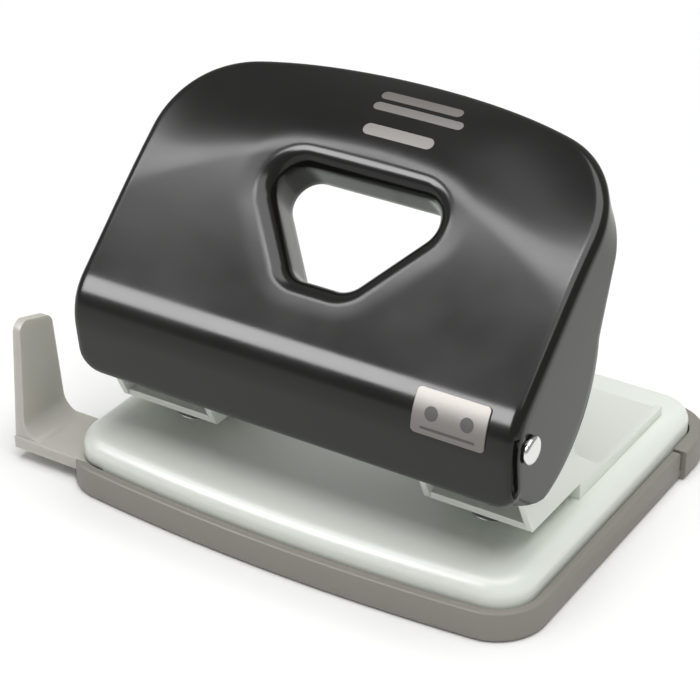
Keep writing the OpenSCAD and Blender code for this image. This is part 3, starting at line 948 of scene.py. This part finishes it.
def tray_mesh(sizes):
    """The chip tray: a thin-walled dish with a pull ear, and holes for guide and feet."""
    rim = TRAY_HIGH.z - 0.2 * MM
    wall, floor = sizes.tray_wall, sizes.tray_floor
    # Roundings of the bottom edge, of the rim and of the inside corner
    under, soft, fillet = 1.2 * MM, 0.5 * MM, 1 * MM
    turn = np.radians(np.linspace(0, 90, 5))
    outer = [(under * (1 - math.sin(a)), under * (1 - math.cos(a))) for a in turn]
    outer += [(soft * (1 - math.cos(a)), rim - soft * (1 - math.sin(a))) for a in turn]
    inner = [
        (wall - soft * (1 - math.sin(a)), rim - soft * (1 - math.cos(a))) for a in turn
    ]
    inner += [
        (wall + fillet * (1 - math.cos(a)), floor + fillet * (1 - math.sin(a)))
        for a in turn
    ]
    tray = outline_stack("tray", sizes, outer + inner)
    # Pull ear round the back right corner, with a narrow notch ahead of it
    proud, ear_length, notch = sizes.ear_proud, 7 * MM, 0.9 * MM
    corner = sizes.corner
    half_w = -TRAY_LOW.x
    half_d = TRAY_HIGH.y - proud
    ear_outer = [(i - proud, z + (0.2 * MM if z > rim / 2 else 0)) for i, z in outer]
    ear = combined(
        outline_stack("ear", sizes, ear_outer),
        "INTERSECT",
        [
            block(
                "ear_zone",
                (half_w - corner - 1 * MM, half_d - corner - ear_length, -1 * MM),
                (half_w + 4 * MM, half_d + 4 * MM, 20 * MM),
            )
        ],
    )
    inside = outline_stack(
        "inside",
        sizes,
        [(wall + fillet, floor), (wall, floor + fillet), (wall, 20 * MM)],
    )
    tray = joined(tray, cut(ear, inside))
    gap = sizes.clearance
    openings = [
        block(
            "guide_way",
            (-half_w - 3 * MM, GUIDE_LOW.y - gap, floor),
            (-half_w + 12 * MM, GUIDE_HIGH.y + gap, 20 * MM),
        ),
        block(
            "ear_notch",
            (half_w - wall - 0.1 * MM, half_d - corner - ear_length - notch, 2.7 * MM),
            (half_w + 4 * MM, half_d - corner - ear_length, 20 * MM),
        ),
    ]
    hole = sizes.foot / 2 + gap
    drill = [(0, -2 * MM), (hole, -2 * MM), (hole, 5 * MM), (0, 5 * MM)]
    openings += [moved(turned("foot_hole", drill), x, y) for x, y in FOOT_PLACES]
    return softened(cut(tray, *openings), 0.15 * MM, 2, 50)


def plate_mesh(sizes):
    """The pressed base plate with its shoulder and skirt, open where the guide comes out."""
    inset = sizes.tray_wall + sizes.gap
    radius, sheet = sizes.shoulder, sizes.sheet
    low = PLATE_LOW.z
    under = PLATE_TOP - sheet
    turn = np.radians(np.linspace(0, 90, 13))
    outer = [(inset + 0.2 * MM, low), (inset, low + 0.25 * MM)]
    outer += [
        (inset + radius * (1 - math.cos(a)), PLATE_TOP - radius * (1 - math.sin(a)))
        for a in turn
    ]
    inner_radius = radius - 1 * MM
    inner = [
        (inset + sheet + inner_radius * (1 - math.cos(a)), under - inner_radius * (1 - math.sin(a)))
        for a in reversed(turn)
    ] + [(inset + sheet, low + 0.25 * MM), (inset + sheet - 0.2 * MM, low)]
    # The hollow is taken out through the bottom, which leaves the pressed sheet
    shell = outline_stack("plate", sizes, outer)
    hollow = outline_stack("hollow", sizes, [(i, z if z > low else low - 1 * MM) for i, z in inner])
    plate = cut(shell, hollow)
    gap = sizes.clearance
    tools = [
        block(
            "guide_way",
            (TRAY_LOW.x - 1 * MM, GUIDE_LOW.y - gap, -1 * MM),
            (TRAY_LOW.x + 14 * MM, GUIDE_HIGH.y + gap, GUIDE_LOW.z + 4.2 * MM),
        )
    ]
    for side in (-1, 1):
        hole = [(0, 0), (6 * MM, 0), (6 * MM, 20 * MM), (0, 20 * MM)]
        tools.append(moved(turned("die_hole", hole, 64), side * PIN_X, PIN_Y))
    return softened(cut(plate, *tools), 0.12 * MM, 2, 50)


def feet_mesh(sizes):
    top = PLATE_TOP - sizes.sheet
    r, stem = sizes.foot / 2, 3.5 * MM
    profile = [(0, 0.3 * MM), (2.2 * MM, 0.3 * MM), (2.6 * MM, 0), (r - 0.6 * MM, 0)]
    profile += [(r - 0.6 * MM + 0.6 * MM * math.sin(a), 0.6 * MM * (1 - math.cos(a)))
                for a in np.radians(np.linspace(20, 90, 5))]
    profile += [(r, 1.8 * MM), (r - 0.4 * MM, 2.2 * MM), (stem, 2.2 * MM), (stem, top)]
    profile += [(0, top)]
    return gathered("rubber_feet", [moved(turned("foot", profile), x, y) for x, y in FOOT_PLACES])


def bracket_mesh(sizes):
    """One punch bracket, for the right-hand side: two cheeks, lip, stop, foot and pin guide."""
    x0, x1 = FRAME_LOW.x, FRAME_HIGH.x
    sheet, lip, stop = sizes.sheet, sizes.lip_height, sizes.stop_y
    back = FRAME_HIGH.y
    ear = sizes.axle_ear
    top, upper = FRAME_LOW.z, sizes.guide_height
    upper_y = PIN_Y + 7 * MM
    # Cheek, seen from the side: round the axle, down the front, and along the foot
    cheek = [(stop, top), (back, top), (back, top + 2.4 * MM)]
    cheek += [(stop + 12 * MM, top + 3.4 * MM), (stop + 9 * MM, lip)]
    cheek += [(upper_y + 1 * MM, upper), (upper_y + 1 * MM, upper + sheet)]
    slope = math.degrees(math.atan2(AXLE_Z - upper, upper_y - AXLE_Y))
    cheek += arc((AXLE_Y, AXLE_Z), ear, 90 - slope, 195, 16)
    cheek += [(sizes.lip_front, lip), (stop, lip)]
    cheeks = [
        extruded("cheek", cheek, x0, x0 + sheet, "x"),
        extruded("cheek", cheek, x1 - sheet, x1, "x"),
    ]
    inset = sheet / 2
    lip_outline = [(sizes.lip_front, lip), (stop + 8 * MM, lip), (stop + 8 * MM, lip + sheet),
                   (sizes.lip_front, lip + sheet)]
    plates = [
        extruded("lip", lip_outline, x0 + inset, x1 - inset, "x"),
        block("foot", (x0 + inset, stop, top), (x1 - inset, back, top + sheet)),
        block("stop", (x0 + inset, stop, top + inset), (x1 - inset, stop + sheet, lip + inset)),
        block("pin_guide", (x0 + inset, PIN_Y - 7 * MM, upper), (x1 - inset, upper_y, upper + sheet)),
    ]
    mesh = joined(cheeks[0], *plates, cheeks[1])
    hole, start, end = sizes.pin_bore, lip - 1 * MM, upper + 3 * MM
    bore = turned("bore", [(0, start), (hole, start), (hole, end), (0, end)])
    return softened(cut(mesh, moved(bore, PIN_X, PIN_Y)), 0.4 * MM, 3, 50)


def rivet_meshes(sizes):
    """Four domed rivets in the brackets' feet."""
    top, low = RIVET_HIGH.z, RIVET_LOW.z
    seat = FRAME_LOW.z + sizes.sheet
    r = sizes.rivet / 2
    profile = [(0, low), (r - 0.3 * MM, low), (r, low + 0.2 * MM), (r, low + 0.8 * MM)]
    profile += [(1.7 * MM, low + 0.8 * MM), (1.7 * MM, seat)]
    turn = np.radians(np.linspace(0, 90, 9))
    profile += [(r * math.cos(a), seat + (top - seat) * math.sin(a)) for a in turn]
    x = RIVET_HIGH.x - r
    places = [(side * x, y) for side in (-1, 1) for y in (RIVET_LOW.y + r, RIVET_HIGH.y - r)]
    return gathered("frame_rivets", [moved(turned("rivet", profile), x, y) for x, y in places])


def die_mesh():
    low, high = DIE_LOW.z, DIE_HIGH.z
    bore, neck, flange = 2.8 * MM, 6 * MM, (DIE_HIGH.x - DIE_LOW.x) / 2
    ring = [(bore, high - 0.15 * MM), (bore + 0.15 * MM, high), (neck - 0.15 * MM, high),
            (neck, high - 0.15 * MM), (neck, high - 1.5 * MM), (flange, high - 1.5 * MM),
            (flange, low), (bore, low)]
    rings = [
        [(r * math.cos(a), r * math.sin(a), z) for a in np.linspace(0, 2 * math.pi, 65)[:-1]]
        for r, z in ring
    ]
    return lofted("die", rings, closed=True)


def pin_mesh():
    """A punch pin with a V-ground cutting end and a groove for its clip."""
    r, low, high = (PIN_HIGH.x - PIN_LOW.x) / 2, PIN_LOW.z, PIN_HIGH.z
    groove_low, groove_high, groove = CLIP_LOW.z, CLIP_HIGH.z, r - 0.7 * MM
    profile = [(0, low), (r, low), (r, groove_low), (groove, groove_low), (groove, groove_high),
               (r, groove_high), (r, high - 0.4 * MM), (r - 0.4 * MM, high), (0, high)]
    wedge = [(-3 * r, low - 2 * MM), (3 * r, low - 2 * MM), (r, low - 0.01 * MM),
             (0, low + 1.4 * MM), (-r, low - 0.01 * MM)]
    return cut(turned("pin", profile), extruded("wedge", wedge, -2 * r, 2 * r, "x"))


def cap_mesh():
    r, low, high, bore = (CAP_HIGH.x - CAP_LOW.x) / 2, CAP_LOW.z, CAP_HIGH.z, 2.75 * MM
    profile = [(0, high - 0.9 * MM), (bore, high - 0.9 * MM), (bore, low), (r - 0.3 * MM, low),
               (r, low + 0.3 * MM), (r, high - 1 * MM)]
    profile += [(r - 1 * MM + 1 * MM * math.cos(a), high - 1 * MM + 1 * MM * math.sin(a))
                for a in np.radians(np.linspace(15, 90, 6))]
    profile += [(0, high)]
    return turned("cap", profile)


def clip_mesh():
    """An open clip bent from flat wire."""
    outer, inner = (CLIP_HIGH.x - CLIP_LOW.x) / 2, 2.1 * MM
    outline = arc((0, 0), outer, 108, 432, 40) + arc((0, 0), inner, 415, 125, 32)
    return softened(extruded("clip", outline, CLIP_LOW.z, CLIP_HIGH.z), 0.15 * MM, 2)


def spring_mesh(sizes):
    """A coil spring of round wire with closed end turns."""
    wire = sizes.wire / 2
    coil = (SPRING_HIGH.x - SPRING_LOW.x) / 2 - wire
    low, high = SPRING_LOW.z + wire, SPRING_HIGH.z - wire
    steps = int(sizes.turns * 40)
    rings = []
    for i in range(steps + 1):
        f = i / steps
        # The end turns lie closer together than the middle ones
        rise = f - 0.055 * math.sin(2 * math.pi * f)
        a = 2 * math.pi * sizes.turns * f
        z = low + (high - low) * rise
        rings.append(
            [
                (
                    (coil + wire * math.cos(b)) * math.cos(a),
                    (coil + wire * math.cos(b)) * math.sin(a),
                    z + wire * math.sin(b),
                )
                for b in np.linspace(0, 2 * math.pi, 13)[:-1]
            ]
        )
    return lofted("spring", rings)


def pusher_mesh(surface):
    """A moulded nose under the slope, with softened edges."""
    nose_y, nose_z = PIN_Y, PUSHER_LOW.z + 4 * MM
    s0, s1 = surface.crown_start - 30 * MM, surface.crown_start - 8 * MM
    sheet = surface.z.sheet
    corners = surface.place([0, 0, 0, 0], [s0, s1, s1, s0], [sheet, sheet, 5 * MM, 5 * MM])[:, 1:]
    edge = [tuple(corners[0]), tuple(corners[1]), tuple(corners[2])]
    edge += arc((nose_y, nose_z), 4 * MM, 15, -180, 16)
    edge += [tuple(corners[3])]
    width = (PUSHER_HIGH.x - PUSHER_LOW.x) / 2
    body = extruded("pusher", edge, -width, width, "x")
    return softened(body, 0.5 * MM, 3, 40)


def guide_mesh(sizes):
    """The sliding bar and the fin that stands up from its end."""
    low, high = GUIDE_LOW, GUIDE_HIGH
    bar, fin, web = sizes.bar, sizes.fin, sizes.web
    side_view = [(low.x, low.z), (high.x, low.z), (high.x, low.z + bar)]
    side_view += arc((low.x + fin + web, low.z + bar + web), web, 270, 180, 8)
    side_view += [(low.x + fin - 0.5 * MM, high.z), (low.x, high.z)]
    body = extruded("guide", side_view, low.y, high.y, "y")
    front, back = low.y + 0.5 * MM, high.y - 0.5 * MM
    r = sizes.fin_corner
    fin_view = [(low.y - 1 * MM, low.z - 1 * MM), (high.y + 1 * MM, low.z - 1 * MM)]
    fin_view += [(high.y + 1 * MM, low.z + bar), (back, low.z + bar)]
    fin_view += arc((back - 5 * MM, high.z - 2 * MM - r), r, 10, 80, 8)
    fin_view += arc((front + 5 * MM, high.z - r), r, 95, 170, 8)
    fin_view += [(front, low.z + bar), (low.y - 1 * MM, low.z + bar)]
    trimmed = combined(
        body, "INTERSECT", [extruded("fin_view", fin_view, low.x - 1 * MM, high.x + 1 * MM, "x")]
    )
    return softened(trimmed, 0.6 * MM, 4, 40)


def channel_mesh():
    low, high = CHANNEL_LOW, CHANNEL_HIGH
    wall = 1 * MM
    floor = block("floor", low, (high.x, high.y, low.z + wall))
    front = block("front", low, (high.x, low.y + wall, low.z + 5 * MM))
    back = block("back", (low.x, high.y - wall, low.z), high)
    return softened(joined(floor, front, back), 0.25 * MM, 2, 50)


def leaf_mesh():
    """A bowed leaf spring that presses on the bar in its middle."""
    low, high, sheet = LEAF_LOW, LEAF_HIGH, 0.4 * MM
    curve = [
        (
            low.x + f * (high.x - low.x),
            low.z + (high.z - low.z - sheet) * math.cos(math.pi * f) ** 2,
        )
        for f in np.linspace(0, 1, 41)
    ]
    outline = curve + [(x, z + sheet) for x, z in reversed(curve)]
    return softened(extruded("leaf", outline, low.y, high.y, "y"), 0.1 * MM, 2, 60)


# ------------------------------------------------------------------ operators


class MakeTray(bpy.types.Operator):
    """Moulds the chip tray with its rounded rim and pull ear"""

    bl_idname = "hole_punch.tray"
    bl_label = "Chip tray"

    def execute(self, context):
        piece("chip_tray_moulding", tray_mesh(context.scene.punch_base), "tray",
              finish("moulded_grey_polystyrene"), ["chip_tray"])
        return {"FINISHED"}


class MakeBasePlate(bpy.types.Operator):
    """Presses the white base plate with its rounded shoulder"""

    bl_idname = "hole_punch.base_plate"
    bl_label = "Base plate"

    def execute(self, context):
        piece("base_plate_pressing", plate_mesh(context.scene.punch_base), "base",
              finish("white_stoved_enamel"), ["base_plate"])
        return {"FINISHED"}


class MakeFeet(bpy.types.Operator):
    """Makes the four rubber feet"""

    bl_idname = "hole_punch.feet"
    bl_label = "Rubber feet"

    def execute(self, context):
        piece("rubber_feet_moulded", feet_mesh(context.scene.punch_base), "base",
              finish("moulded_rubber"), ["rubber_feet"])
        return {"FINISHED"}


class MakeBrackets(bpy.types.Operator):
    """Bends the two punch brackets and sets their rivets"""

    bl_idname = "hole_punch.brackets"
    bl_label = "Punch brackets"

    def execute(self, context):
        sizes = context.scene.punch_mechanism
        right = bracket_mesh(sizes)
        left = mirrored(right)
        enamel = finish("white_stoved_enamel")
        piece("bracket_right", right, "base", enamel, ["punch_frame_right"], 50)
        piece("bracket_left", left, "base", enamel, ["punch_frame_left"], 50)
        piece("bracket_rivets", rivet_meshes(sizes), "base",
              finish("turned_nickelled_steel"), ["frame_rivets"])
        return {"FINISHED"}


class MakePunchHeads(bpy.types.Operator):
    """Makes both punch heads: die, pin, cap, clip and return spring"""

    bl_idname = "hole_punch.heads"
    bl_label = "Punch heads"

    def execute(self, context):
        sizes = context.scene.punch_mechanism
        steel, nylon = finish("ground_hardened_steel"), finish("moulded_black_nylon")
        wire = finish("drawn_spring_wire")
        for side, x in (("left", -PIN_X), ("right", PIN_X)):
            pin_body = side + "_pin"
            made = [
                ("die_bush", die_mesh(), "base", "hard_steel", steel, "die_"),
                ("pin_ground", pin_mesh(), pin_body, "hard_steel", steel, "punch_pin_"),
                ("pin_head", cap_mesh(), pin_body, "nylon_black", nylon, "pin_cap_"),
                ("pin_circlip", clip_mesh(), pin_body, "spring_steel", wire, "pin_clip_"),
                ("coil_spring", spring_mesh(sizes), "base", "spring_steel", wire, "return_spring_"),
            ]
            for name, mesh, body, slot_name, material, node in made:
                part = piece(f"{name}_{side}", moved(mesh, x, PIN_Y), body, material,
                             [node + side])
                if name == "coil_spring":
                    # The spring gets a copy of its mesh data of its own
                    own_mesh(part)
        return {"FINISHED"}


class MakeAxle(bpy.types.Operator):
    """Turns the axle, its bright caps and its washers"""

    bl_idname = "hole_punch.axle"
    bl_label = "Axle"

    def execute(self, context):
        r, end = (AXLE_HIGH.y - AXLE_LOW.y) / 2, AXLE_HIGH.x
        rod = turned("axle", [(0, -end), (r, -end), (r, end), (0, end)])
        cap_r, cap_end = (CAPS_HIGH.y - CAPS_LOW.y) / 2, CAPS_HIGH.x
        thick = cap_end - end
        dome = [(0, end), (cap_r - 0.15 * MM, end), (cap_r, end + 0.15 * MM)]
        dome += [
            (cap_r * math.cos(a) ** 0.6, end + thick * (0.35 + 0.65 * math.sin(a)))
            for a in np.radians(np.linspace(0, 86, 10))
        ]
        dome += [(0, cap_end)]
        cap = turned("cap", dome)
        inner, outer = WASHERS_HIGH.x - 0.7 * MM, WASHERS_HIGH.x
        washer_r = (WASHERS_HIGH.y - WASHERS_LOW.y) / 2
        ring = [(r, inner), (washer_r, inner), (washer_r, outer), (r, outer)]
        washer = lofted(
            "washer",
            [[(q * math.cos(a), q * math.sin(a), z) for a in np.linspace(0, 2 * math.pi, 49)[:-1]]
             for q, z in ring],
            closed=True,
        )
        for name, mesh, slot_name, kind, node, pair in (
            ("axle_rod", rod, "bright_steel", "turned_nickelled_steel", "axle", False),
            ("axle_end_caps", cap, "bright_steel", "turned_nickelled_steel", "axle_caps", True),
            ("axle_side_washers", washer, "nylon_natural", "punched_natural_nylon",
             "axle_washers", True),
        ):
            mesh = along_x(mesh)
            both = gathered(name, [mesh, mirrored(mesh)]) if pair else mesh
            piece(name, moved(both, 0, AXLE_Y, AXLE_Z), "base", finish(kind), [node])
        return {"FINISHED"}


class MakeLever(bpy.types.Operator):
    """Presses the lever's sheet and moulds the noses below it"""

    bl_idname = "hole_punch.lever"
    bl_label = "Lever"

    def execute(self, context):
        sizes = context.scene.punch_lever
        piece("lever_pressing", lever_mesh(sizes), "lever",
              finish("black_stoved_enamel"), ["lever_shell"], 50)
        surface = LeverSurface(sizes)
        for side, x in (("left", -PIN_X), ("right", PIN_X)):
            piece(f"pusher_nose_{side}", moved(pusher_mesh(surface), x), "lever",
                  finish("moulded_black_nylon"), [f"pusher_{side}"])
        return {"FINISHED"}


class MakeMarks(bpy.types.Operator):
    """Lays the blank name plate and the printed bars on the lever"""

    bl_idname = "hole_punch.marks"
    bl_label = "Name plate and bars"

    def execute(self, context):
        sizes = context.scene.punch_lever
        surface = LeverSurface(sizes)
        low, high = (LABEL_LOW.x, sizes.label_low), (LABEL_HIGH.x, sizes.label_high)
        foil = finish("brushed_aluminium_foil")
        plate = patch_on_lever(
            "plate", sizes, round_rectangle(low, high, 1.0 * MM), 0.38 * MM, 0.05 * MM
        )
        piece("name_plate", plate, "lever", foil, ["label_plate"])
        # A blank frame line and two dots for the two holes, printed on the plate
        middle = ((low[0] + high[0]) / 2, (low[1] + high[1]) / 2)
        dots = [
            patch_on_lever(
                "dot", sizes, arc((middle[0] + dx, middle[1]), 1.7 * MM, 0, 345, 23),
                0.42 * MM, -0.3 * MM,
            )
            for dx in (-4.2 * MM, 4.2 * MM)
        ]
        bar = patch_on_lever(
            "bar", sizes,
            round_rectangle((middle[0] - 6.6 * MM, low[1] + 1.3 * MM),
                            (middle[0] + 6.6 * MM, low[1] + 1.9 * MM), 0.28 * MM, 4),
            0.42 * MM, -0.3 * MM,
        )
        piece("name_plate_print", gathered("name_plate_print", dots + [bar]), "lever",
              finish("printed_ink"), [])
        crown = surface.crown_start
        bars = [
            ((-6 * MM, crown + 16.8 * MM), (14.5 * MM, crown + 19.4 * MM)),
            ((-6 * MM, crown + 13.2 * MM), (16.5 * MM, crown + 15.6 * MM)),
            ((-5 * MM, crown + 6.2 * MM), (12.7 * MM, crown + 9.2 * MM)),
        ]
        strips = [
            patch_on_lever(
                "strip", sizes, round_rectangle(a, b, (b[1] - a[1]) / 2 - 0.02 * MM, 6),
                0.06 * MM, 0.02 * MM,
            )
            for a, b in bars
        ]
        piece("printed_bars", gathered("printed_bars", strips), "lever", foil, [])
        return {"FINISHED"}


class MakeGuide(bpy.types.Operator):
    """Moulds the paper guide, its channel and its leaf spring"""

    bl_idname = "hole_punch.guide"
    bl_label = "Paper guide"

    def execute(self, context):
        piece("guide_moulding", guide_mesh(context.scene.punch_guide), "guide",
              finish("moulded_natural_polypropylene"), ["paper_guide"])
        piece("guide_track", channel_mesh(), "base",
              finish("moulded_black_nylon"), ["guide_channel"])
        piece("leaf_spring", leaf_mesh(), "base",
              finish("drawn_spring_wire"), ["guide_leaf_spring"])
        return {"FINISHED"}


def softbox(name, towards, distance, width, depth, watts, target):
    """A rectangular area light that faces the object from a direction."""
    light = bpy.data.lights.new(name, "AREA")
    light.shape = "RECTANGLE"
    light.size, light.size_y = width, depth
    light.energy = watts
    made = bpy.data.objects.new(name, light)
    bpy.context.scene.collection.objects.link(made)
    direction = Vector(towards).normalized()
    made.location = target + direction * distance
    # The long side of the light stays level with the object's length
    side = (Vector((1, 0, 0)) - direction * direction.x).normalized()
    made.rotation_euler = Matrix((side, direction.cross(side), direction)).transposed().to_euler()
    return made


class MakeStudio(bpy.types.Operator):
    """Sets up the floor, the soft lights and the camera"""

    bl_idname = "hole_punch.studio"
    bl_label = "Studio"

    def execute(self, context):
        studio = context.scene.punch_studio
        half = studio.floor_size / 2
        floor_mesh = mesh_from(
            "floor", [(-half, -half, 0), (half, -half, 0), (half, half, 0), (-half, half, 0)],
            [(0, 1, 2, 3)],
        )
        floor = bpy.data.objects.new("floor", floor_mesh)
        context.scene.collection.objects.link(floor)
        floor.location.z = -0.05 * MM
        # Matt seamless paper: even, with a fibre too fine to see
        floor_mesh.materials.append(
            grained("seamless_paper", context.scene.punch_colours.floor, 0.9, 2 * MM, 0.005 * MM,
                    variation=0.004, cloud=0.4, Specular_IOR_Level=0.2)
        )
        world = bpy.data.worlds.new("studio")
        world.use_nodes = True
        world.node_tree.nodes["Background"].inputs["Color"].default_value = (1, 1, 1, 1)
        world.node_tree.nodes["Background"].inputs["Strength"].default_value = studio.sky
        context.scene.world = world
        context.scene.view_settings.view_transform = "Standard"
        middle = Vector((0, AXLE_Y / 2, 0.06))
        crown = softbox("crown_softbox", (-0.46, -0.305, 0.815), 0.9, 0.62, 0.1, studio.crown,
                        middle)
        knee = softbox("knee_softbox", (-0.46, -0.72, 0.56), 0.95, 0.5, 0.42, studio.knee, middle)
        softbox("broad_softbox", (0.2, -0.1, 1.6), 1.6, 1.5, 1.5, studio.fill, middle)
        # Crown and knee lights only shine in the gloss, so the white plate keeps its shading
        crown.visible_diffuse = knee.visible_diffuse = False
        aim = Vector((studio.aim_x, studio.aim_y, 0))
        azimuth, elevation = studio.camera_azimuth, studio.camera_elevation
        back = Vector((math.sin(azimuth) * math.cos(elevation),
                       -math.cos(azimuth) * math.cos(elevation), math.sin(elevation)))
        camera = bpy.data.objects.new("camera", bpy.data.cameras.new("camera"))
        context.scene.collection.objects.link(camera)
        camera.data.lens = studio.lens
        camera.data.sensor_width = 36
        camera.data.clip_start = 0.01
        camera.location = aim + back * studio.camera_distance
        camera.rotation_euler = (-back).to_track_quat("-Z", "Y").to_euler()
        context.scene.camera = camera
        return {"FINISHED"}


class PunchPanel(bpy.types.Panel):
    """Sizes, colours and building steps of the hole punch"""

    bl_idname = "VIEW3D_PT_hole_punch"
    bl_label = "Hole punch"
    bl_space_type = "VIEW_3D"
    bl_region_type = "UI"
    bl_category = "Hole punch"

    def draw(self, context):
        for group in PROPERTY_GROUPS:
            box = self.layout.box()
            box.label(text=group.__doc__)
            sizes = getattr(context.scene, PROPERTY_GROUPS[group])
            for key in group.__annotations__:
                box.prop(sizes, key)
        for operator in OPERATORS:
            self.layout.operator(operator.bl_idname)


PROPERTY_GROUPS = {
    LeverSizes: "punch_lever",
    BaseSizes: "punch_base",
    MechanismSizes: "punch_mechanism",
    GuideSizes: "punch_guide",
    FinishColours: "punch_colours",
    StudioSizes: "punch_studio",
}
OPERATORS = [
    MakeStudio,
    MakeTray,
    MakeBasePlate,
    MakeFeet,
    MakeBrackets,
    MakePunchHeads,
    MakeAxle,
    MakeLever,
    MakeMarks,
    MakeGuide,
]


def register():
    for group, name in PROPERTY_GROUPS.items():
        bpy.utils.register_class(group)
        setattr(bpy.types.Scene, name, PointerProperty(type=group))
    for made in [*OPERATORS, PunchPanel]:
        bpy.utils.register_class(made)


def unregister():
    for made in reversed([*OPERATORS, PunchPanel]):
        bpy.utils.unregister_class(made)
    for group, name in PROPERTY_GROUPS.items():
        delattr(bpy.types.Scene, name)
        bpy.utils.unregister_class(group)


def main():
    register()
    for operator in OPERATORS:
        area, step = operator.bl_idname.split(".")
        getattr(getattr(bpy.ops, area), step)()
    bpy.context.view_layer.update()


if __name__ == "__main__":
    main()
